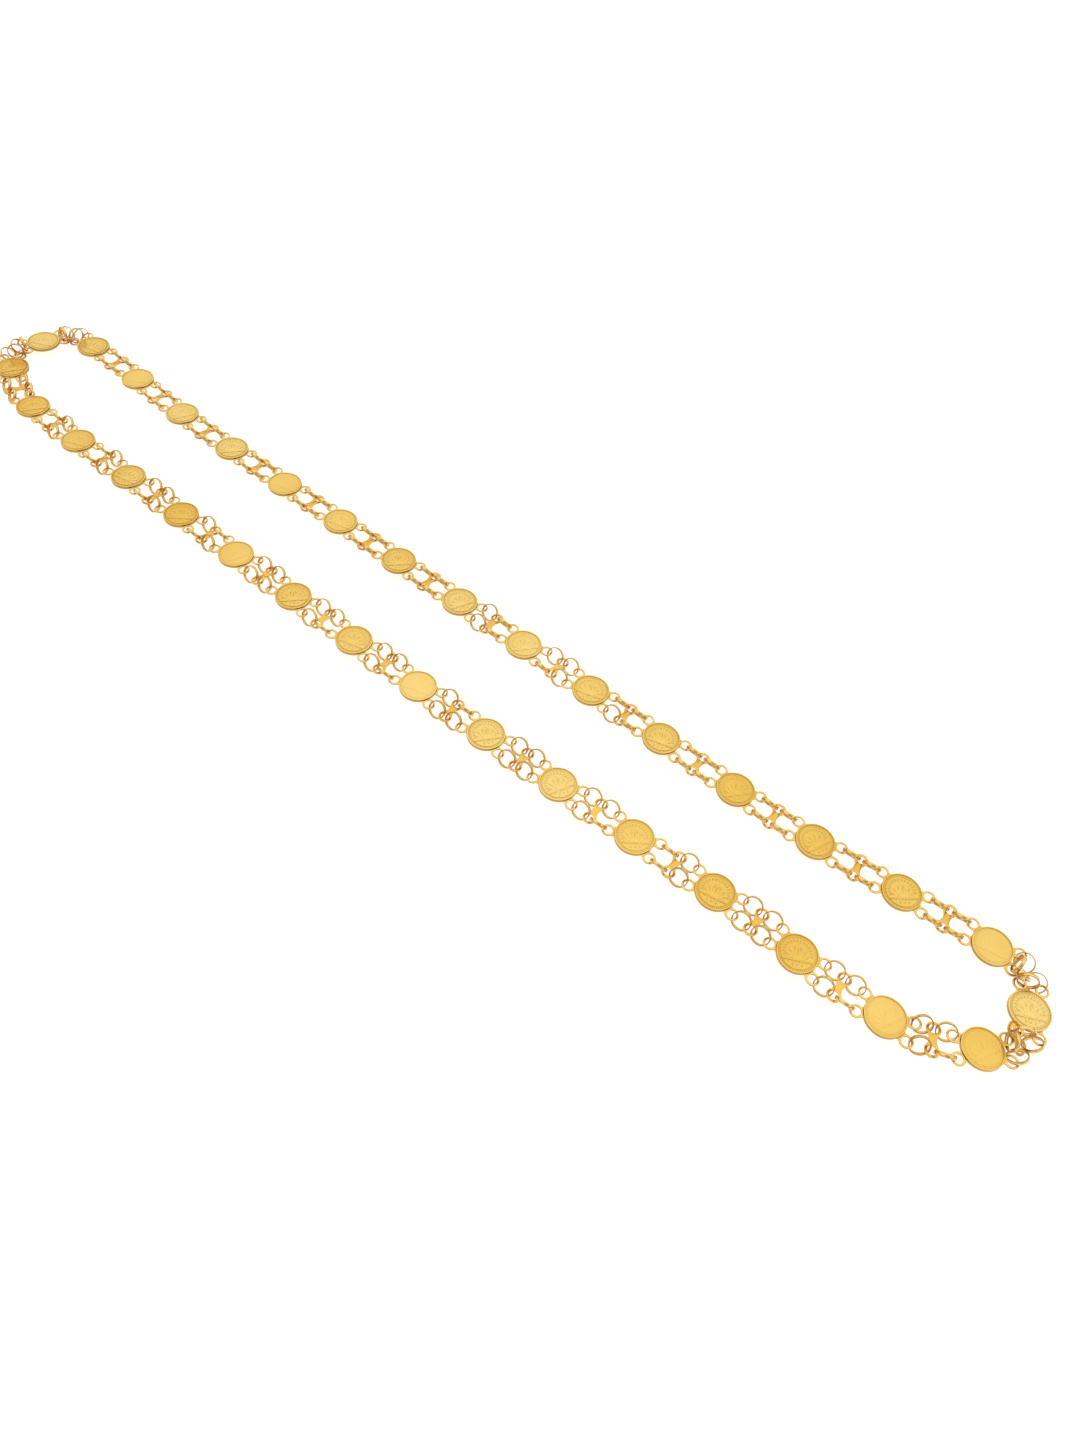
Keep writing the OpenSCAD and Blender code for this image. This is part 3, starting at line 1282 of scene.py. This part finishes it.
@dataclass
class Spacers:
    """The figure-of-eight spacers, whose lobes are pressed into shallow dishes.

    All sizes are in millimetres, and the outline repeats the frame's.

    Attributes:
        lobe_side: Distance of a lobe's middle from the chain's middle line.
        lobe_r: Outer radius of a lobe.
        lobe_round: Rounding of its edges.
        border_w: Width of its flat border.
        lip_w: Width of the lip round its eye.
        eye_r: Radius of its eye.
        waist_w: Width of the waist.
        waist_thin: Thickness of the waist over the plate's.
        waist_round: Rounding of its edges.
        plate_t: Thickness of the plate.
        dish: How far the edge of the eye lies under the lobe's outer edge.
    """

    lobe_side: float = 3.1
    lobe_r: float = 2.1
    lobe_round: float = 0.08
    border_w: float = 0.2
    lip_w: float = 0.4
    eye_r: float = 1.3
    waist_w: float = 2.2
    waist_thin: float = 0.92
    waist_round: float = 0.07
    plate_t: float = 0.3
    dish: float = 0.04

    def _plate(self, sheet: Piece, thickness: float, rounding: float) -> Piece:
        """Makes a sheet a solid plate with rounded edges."""
        solid = rounded(thickened(sheet, thickness), rounding, from_degrees=50.0)
        return smooth(outward(solid), 45.0)

    def lobe(self) -> Piece:
        """Models one lobe round the origin: a flat ring that dips towards its eye.

        Returns:
            The master lobe.
        """
        bpy.ops.mesh.primitive_circle_add(
            vertices=36, radius=self.lobe_r, fill_type="NOTHING", location=(0, 0, self.dish / 2)
        )
        lobe = fresh("lobe")
        radii = (self.lobe_r - self.border_w, self.eye_r + self.lip_w, self.eye_r)
        drops = (0.0, 0.6 * self.dish, 0.4 * self.dish)
        now = self.lobe_r
        with at_points(lobe):
            for radius, drop in zip(radii, drops):
                bpy.ops.mesh.extrude_region_move()
                bpy.ops.transform.resize(value=(radius / now, radius / now, 1.0))
                bpy.ops.transform.translate(value=(0, 0, -drop))
                now = radius
        return self._plate(lobe, self.plate_t, self.lobe_round)

    def waist(self) -> Piece:
        """Models the waist: a plate whose sides curve in between the lobes.

        Returns:
            The waist, round the origin.
        """
        rows = 12
        reach = self._touch_y()
        bpy.ops.mesh.primitive_grid_add(x_subdivisions=4, y_subdivisions=rows, size=1.0)
        waist = fresh("waist")
        with at_points(waist):
            bpy.ops.transform.resize(value=(2.0, 2.0 * reach, 1.0))
        for k in range(rows + 1):
            row_y = reach * (2 * k / rows - 1)
            with at_points(waist, in_row(1, row_y)):
                bpy.ops.transform.resize(value=(self._half_width(row_y), 1.0, 1.0))
        middle_r = (self.lobe_r + self.eye_r) / 2
        for share in (0.0, 0.5):
            inset = math.sqrt(middle_r**2 - (share * self._half_width(reach)) ** 2)
            shorter = (self.lobe_side - inset) / reach
            with at_points(waist, on_lines(1, share, self._half_width)):
                bpy.ops.transform.resize(value=(1.0, shorter, 1.0), center_override=(0, 0, 0))
        return self._plate(waist, self.waist_thin * self.plate_t, self.waist_round)

    def _arc_r(self) -> float:
        """Gives the radius of the arc that leaves the waist and touches both lobes."""
        half = self.waist_w / 2
        return (half**2 + self.lobe_side**2 - self.lobe_r**2) / (2 * (self.lobe_r - half))

    def _touch_y(self) -> float:
        """Gives how far from the spacer's middle that arc touches a lobe."""
        return self.lobe_side * self._arc_r() / (self._arc_r() + self.lobe_r)

    def _half_width(self, row_y: float) -> float:
        """Gives half the waist's width at a distance from its middle."""
        arc_r = self._arc_r()
        return self.waist_w / 2 + arc_r - math.sqrt(arc_r**2 - row_y**2)

    def build(self) -> Piece:
        """Models one spacer and sets a copy over each spacer of the frame.

        Returns:
            All spacers as one piece.
        """
        lobe, waist = self.lobe(), self.waist()
        parts = [copy_of(lobe, moved(0, s * self.lobe_side)) for s in (-1, 1)]
        master = joined("spacer", [*parts, copy_of(waist)])
        discard(lobe, waist)
        seats = loose_seats("spacers")
        spacers = joined("dished_spacers", [copy_of(master, seat.placing()) for seat in seats])
        discard(master)
        spacers.data.materials.append(PRESSED_GOLD.material())
        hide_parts("spacers")
        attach(spacers, ROOT)
        return spacers


# The jump rings


@dataclass
class JumpRings:
    """The ribbon rings that link the coins' ears to the spacers' eyes.

    All sizes are in millimetres and repeat the frame's.

    Attributes:
        ring_d: Outer diameter.
        band_t: Thickness of the band.
        band_w: Width of the band.
        edge_round: Radius of the band's long edges.
        side_count: Number of flats round the ring, which smooth shading hides.
        seam_w: Width of the soldered seam.
        seam_proud: How much thicker and wider than the band the seam is.
        golden_turn: Degrees from one ring's seam to the next ring's.
    """

    ring_d: float = 5.9
    band_t: float = 0.3
    band_w: float = 1.05
    edge_round: float = 0.05
    side_count: int = 36
    seam_w: float = 0.22
    seam_proud: Span = (0.1, 0.04)
    golden_turn: float = 137.5

    def ribbon(self) -> Piece:
        """Models the flat band of one ring round the origin.

        Returns:
            The band.
        """
        bpy.ops.mesh.primitive_cylinder_add(
            vertices=self.side_count,
            radius=(self.ring_d - self.band_t) / 2,
            depth=self.band_w,
            end_fill_type="NOTHING",
        )
        band = rounded(thickened(fresh("ribbon"), self.band_t), self.edge_round, segments=1)
        smooth(outward(band), 50.0)
        band.data.materials.append(RIBBON_GOLD.material())
        # The band's flat edges take a darker gold: painted shade.
        dress_where(band, SHADED_CUT_EDGE, lambda _, normal: abs(normal.z) > 0.5)
        return band

    def seam(self) -> Piece:
        """Models the low ridge of solder that closes a ring.

        Returns:
            The seam, in place on the band.
        """
        thicker, wider = self.seam_proud
        bpy.ops.mesh.primitive_uv_sphere_add(
            segments=8,
            ring_count=4,
            radius=0.5,
            location=((self.ring_d - self.band_t) / 2, 0, 0),
            scale=(self.band_t + thicker, self.seam_w, self.band_w + wider),
        )
        return smooth(fresh("seam"), 60.0)

    def build(self) -> Piece:
        """Models one ring and sets a copy over each ring of the frame.

        Returns:
            All rings as one piece.
        """
        master = joined("ring", [self.ribbon(), self.seam()])
        placings = [
            seat.placing(self.golden_turn * index)
            for index, seat in enumerate(loose_seats("jump_rings"))
        ]
        rings = joined("ribbon_rings", [copy_of(master, placing) for placing in placings])
        discard(master)
        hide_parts("jump_rings")
        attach(rings, ROOT)
        return rings


# The studio


@dataclass(frozen=True)
class SoftBox:
    """A square soft light that faces the middle of the necklace.

    Attributes:
        name: Its name.
        place: Where it stands, in metres.
        side: Its side, in metres.
        watts: Its power.
    """

    name: str
    place: Place
    side: float
    watts: float

    def build(self) -> None:
        """Sets up the light."""
        lamp = bpy.data.lights.new(self.name, "AREA")
        lamp.shape = "SQUARE"
        lamp.size = self.side
        lamp.energy = self.watts
        light = bpy.data.objects.new(self.name, lamp)
        light.location = self.place
        light.rotation_mode = "QUATERNION"
        light.rotation_quaternion = (-Vector(self.place)).to_track_quat("-Z", "Y")
        bpy.context.scene.collection.objects.link(light)


@dataclass
class Studio:
    """The floor, the lights and the camera.

    Attributes:
        floor_side: Side of the floor, in metres.
        sky: Strength of the even light from nearly all round.
        shaded_sky: Strength where whoever looks at the necklace keeps the light off it.
        shaded_towards: The middle of that part of the sky.
        shaded_cosines: Cosines of the angles from its middle at which it starts and is full.
        horizon_share: What is left of the sky's light near the horizon, where the room is dark.
        horizon_heights: Sines of the angles above the horizon between which it brightens.
        sensor_mm: The long side of the camera's sensor.
        lens_mm: The camera's lens on that sensor.
        camera_clip: The nearest and the farthest that it sees, in metres.
        camera_place: Where the camera stands, in metres.
        camera_aim: What it looks at, in metres.
        camera_roll: How far it is turned about its view, in degrees.
        boxes: The soft lights.
    """

    floor_side: float = 6.0
    sky: float = 1.05
    shaded_sky: float = 0.40
    shaded_towards: Place = (0.32, -0.52, 0.79)
    shaded_cosines: Span = (0.80, 0.96)
    horizon_share: float = 0.2
    horizon_heights: Span = (0.04, 0.40)
    sensor_mm: float = 36.0
    lens_mm: float = 27.0
    camera_clip: Span = (0.01, 20.0)
    camera_place: Place = (0.15723, -0.17891, 0.26858)
    camera_aim: Place = (0.05074, -0.00428, 0.00266)
    camera_roll: float = 9.06
    boxes: tuple[SoftBox, ...] = (SoftBox("overhead_box", (0.0, 0.0, 1.2), 1.6, 1.0),)

    def lay_floor(self) -> None:
        """Lays the floor under the necklace."""
        bpy.ops.mesh.primitive_plane_add(size=self.floor_side)
        floor = fresh("floor")
        floor.data.materials.append(FloorFinish().material())

    def light(self) -> None:
        """Lights the scene with an even sky and the soft boxes."""
        sky = bpy.data.worlds.new("studio_sky")
        nodes = Nodes(sky)
        direction = nodes.add("ShaderNodeTexCoord", "Generated")
        pair = {0: direction, 1: Vector(self.shaded_towards).normalized()}
        towards = nodes.add("ShaderNodeVectorMath", "Value", pair, operation="DOT_PRODUCT")
        upward = nodes.add("ShaderNodeSeparateXYZ", "Z", {"Vector": direction})
        soft = {"interpolation_type": "SMOOTHSTEP"}
        shaded = nodes.ranged(towards, self.shaded_cosines, (self.sky, self.shaded_sky), **soft)
        lower = nodes.ranged(upward, self.horizon_heights, (self.horizon_share, 1.0), **soft)
        strength = nodes.add("ShaderNodeMath", "Value", {0: shaded, 1: lower}, operation="MULTIPLY")
        nodes.feed("Background", {"Color": WHITE, "Strength": strength})
        bpy.context.scene.world = sky
        for box in self.boxes:
            box.build()

    def place_camera(self) -> None:
        """Puts the camera at the photograph's viewing angle."""
        lens = bpy.data.cameras.new("camera")
        lens.sensor_width = self.sensor_mm
        lens.lens = self.lens_mm
        lens.clip_start, lens.clip_end = self.camera_clip
        camera = bpy.data.objects.new("camera", lens)
        place = Vector(self.camera_place)
        towards = Vector(self.camera_aim) - place
        level = towards.to_track_quat("-Z", "Y").to_matrix().to_4x4()
        camera.matrix_world = Matrix.Translation(place) @ level @ turned(self.camera_roll)
        bpy.context.scene.collection.objects.link(camera)
        bpy.context.scene.camera = camera

    def build(self) -> None:
        """Sets up the whole studio and shows colours as they are lit."""
        self.lay_floor()
        self.light()
        self.place_camera()
        bpy.context.scene.view_settings.view_transform = "Standard"


def report(piece: Piece) -> None:
    """Logs one finished piece."""
    triangles = sum(len(p.vertices) - 2 for p in piece.data.polygons)
    LOG.info("%s: %d triangles", piece.name, triangles)


def main() -> None:
    """Builds the necklace and its studio."""
    logging.basicConfig(level=logging.INFO, format="%(name)s: %(message)s")
    for coin in Coins().build():
        report(coin)
    report(Spacers().build())
    report(JumpRings().build())
    Studio().build()


if __name__ == "__main__":
    main()
